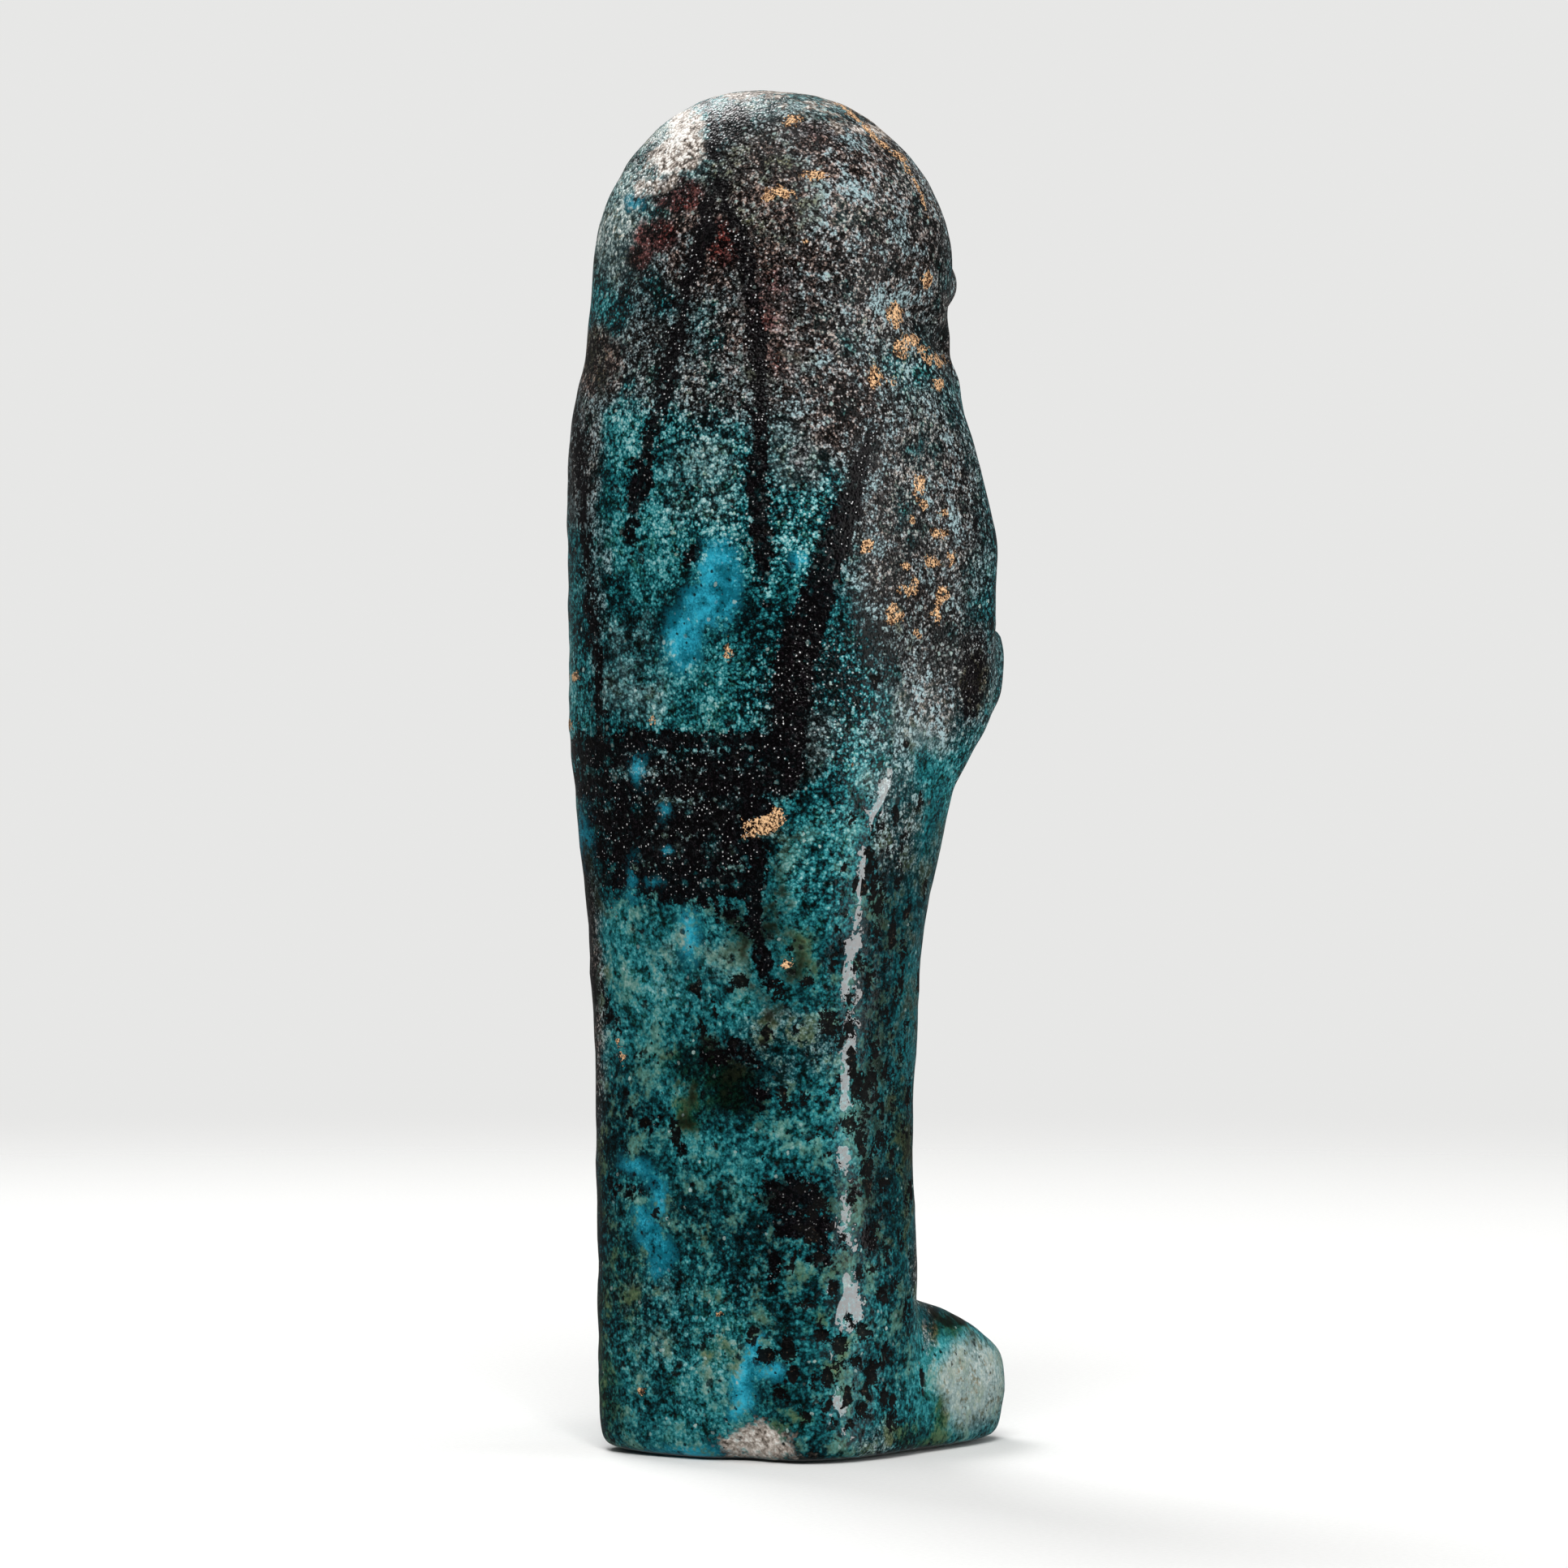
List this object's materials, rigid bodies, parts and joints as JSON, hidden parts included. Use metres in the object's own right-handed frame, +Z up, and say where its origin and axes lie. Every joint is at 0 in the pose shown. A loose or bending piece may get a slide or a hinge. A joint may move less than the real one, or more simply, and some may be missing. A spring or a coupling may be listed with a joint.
{
  "type": "faience shabti figure",
  "caption": "Small mummy-shaped standing figure in blue-green glazed faience, with a long wig, crossed arms and feet on a flat underside.",
  "frame": {"origin": "on the flat underside, at the middle of the figure's bounding box", "axes": "+Z up along the figure's height, -Y the way the face and feet point, +X to the figure's left"},
  "size_m": [0.0302, 0.0332, 0.1],
  "materials": {
    "faience": "thin, grainy, semi-gloss blue-green glaze with brown-black paint, worn and pitted"
  },
  "bodies": {
    "root": {"shabti_figure": "faience"}
  },
  "joints": []
}
